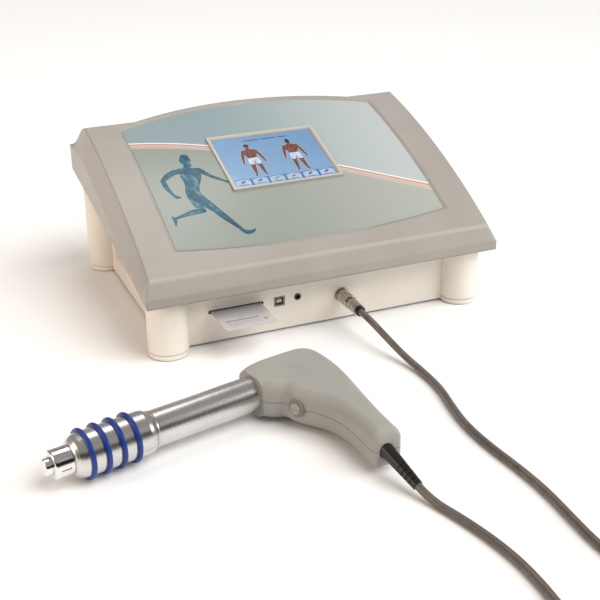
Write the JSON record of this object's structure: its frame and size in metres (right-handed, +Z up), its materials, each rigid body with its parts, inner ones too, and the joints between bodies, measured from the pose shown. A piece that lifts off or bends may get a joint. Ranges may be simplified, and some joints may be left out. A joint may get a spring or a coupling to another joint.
{
  "type": "ultrasound therapy device",
  "caption": "Desktop physiotherapy console with a sloping touch screen, card slot and corner posts, and a metal pistol-grip applicator on a coiled lead.",
  "frame": {"origin": "centre of the console's footprint, on the table that it stands on", "axes": "+X to the right along the console's front, +Y to its back, +Z up; the front faces -Y"},
  "size_m": [0.519, 0.893, 0.1833],
  "materials": {
    "lid_plastic": "moulded taupe grey, fine texture",
    "case_cream": "cream powder coat",
    "film": "printed polyester film, satin",
    "bezel_plastic": "satin grey frame",
    "screen_glass": "clear touch glass",
    "dark_plastic": "black moulding",
    "foot_rubber": "matt rubber",
    "sheet_steel": "zinc plated sheet",
    "card_plastic": "light grey lilac card",
    "nickel": "satin nickel",
    "white_plastic": "white insulator",
    "board_green": "green solder resist",
    "winding_copper": "enamelled copper wire",
    "alloy": "satin turned aluminium",
    "steel": "hardened ground steel",
    "bright_chrome": "polished chrome",
    "grip_plastic": "soft light grey",
    "blue_rubber": "deep blue rubber",
    "soft_black": "black rubber",
    "lead_jacket": "grey brown cable jacket"
  },
  "bodies": {
    "device": {"lid": "lid_plastic", "overlay_film": "film", "lid_underside": "sheet_steel", "screen_bezel": "bezel_plastic", "touch_glass": "screen_glass", "lcd_module": "dark_plastic", "lcd_bracket": "sheet_steel", "front_panel": "case_cream", "rear_panel": "case_cream", "side_panel_left": "case_cream", "side_panel_right": "case_cream", "bottom_plate": "sheet_steel", "front_posts": "case_cream", "rear_posts": "case_cream", "foot_caps": "case_cream", "foot_pads": "foot_rubber", "card_reader": "dark_plastic", "usb_socket": "dark_plastic", "jack_socket": "nickel", "lead_socket": "nickel", "plug_body": "nickel", "plug_grommet": "soft_black", "mains_inlet": "dark_plastic", "rocker_frame": "dark_plastic", "fan_frame": "dark_plastic", "fan_guard": "sheet_steel", "main_board": "board_green", "driver_board": "board_green", "driver_capacitors": "dark_plastic", "power_supply": "sheet_steel", "heat_sink": "alloy", "grip_shell_upper": "grip_plastic", "grip_shell_lower": "grip_plastic", "button_ring": "dark_plastic", "trigger_switch": "dark_plastic", "barrel_tube": "alloy", "front_sleeve": "alloy", "damping_ring_1": "blue_rubber", "damping_ring_2": "blue_rubber", "damping_ring_3": "blue_rubber", "damping_ring_4": "blue_rubber", "tip_cushion": "soft_black", "guide_tube": "steel", "drive_coils": "winding_copper", "rear_block": "alloy", "strain_relief": "soft_black", "lead_console_run": "lead_jacket", "lead_hand_run": "lead_jacket", "lead_coil": "lead_jacket", "coil_tie": "soft_black"},
    "card": {"memory_card": "card_plastic"},
    "latch_sleeve": {"plug_sleeve": "nickel"},
    "rocker": {"power_rocker": "dark_plastic"},
    "rotor": {"fan_rotor": "dark_plastic"},
    "fuse_tray": {"fuse_drawer": "dark_plastic"},
    "button": {"trigger_button": "grip_plastic"},
    "striker_rod": {"striker": "steel"},
    "tip": {"transmitter_tip": "bright_chrome"},
    "washer": {"nut_washer": "steel"},
    "nut": {"retaining_nut": "bright_chrome"}
  },
  "joints": [
    {"name": "card_slide", "type": "slide", "parent": "device", "child": "card", "axis": [0, -1, 0], "range_m": [0, 0.034]},
    {"name": "latch_pull", "type": "slide", "parent": "device", "child": "latch_sleeve", "axis": [0, -1, 0], "range_m": [0, 0.0025], "stiffness_N_per_m": 1200, "springref_m": -0.001},
    {"name": "rocker_tilt", "type": "hinge", "parent": "device", "child": "rocker", "pos_m": [0.06, 0.124, 0.042], "axis": [1, 0, 0], "range_deg": [-14, 0]},
    {"name": "rotor_spin", "type": "hinge", "parent": "device", "child": "rotor", "pos_m": [-0.07, 0.109, 0.052], "axis": [0, 1, 0], "continuous": true},
    {"name": "fuse_tray_slide", "type": "slide", "parent": "device", "child": "fuse_tray", "axis": [0, 1, 0], "range_m": [0, 0.012]},
    {"name": "button_press", "type": "slide", "parent": "device", "child": "button", "axis": [0.885, 0.4656, 0], "range_m": [0, 0.0018], "stiffness_N_per_m": 900, "springref_m": -0.0008},
    {"name": "striker_travel", "type": "slide", "parent": "device", "child": "striker_rod", "axis": [-0.9713, -0.2377, 0], "range_m": [0, 0.1027]},
    {"name": "tip_travel", "type": "slide", "parent": "device", "child": "tip", "axis": [-0.9713, -0.2377, 0], "range_m": [0, 0.001], "stiffness_N_per_m": 20000, "springref_m": -0.0002},
    {"name": "nut_advance", "type": "slide", "parent": "device", "child": "washer", "axis": [-0.9713, -0.2377, 0], "range_m": [0, 0.00451]},
    {"name": "nut_turn", "type": "hinge", "parent": "washer", "child": "nut", "pos_m": [-0.31308, -0.32152, 0.023], "axis": [-0.9713, -0.2377, 0], "range_deg": [0, 1080]}
  ],
  "couplings": [
    {"joint": "nut_advance", "follows": "nut_turn", "m_per_rad": 0.00023873}
  ]
}
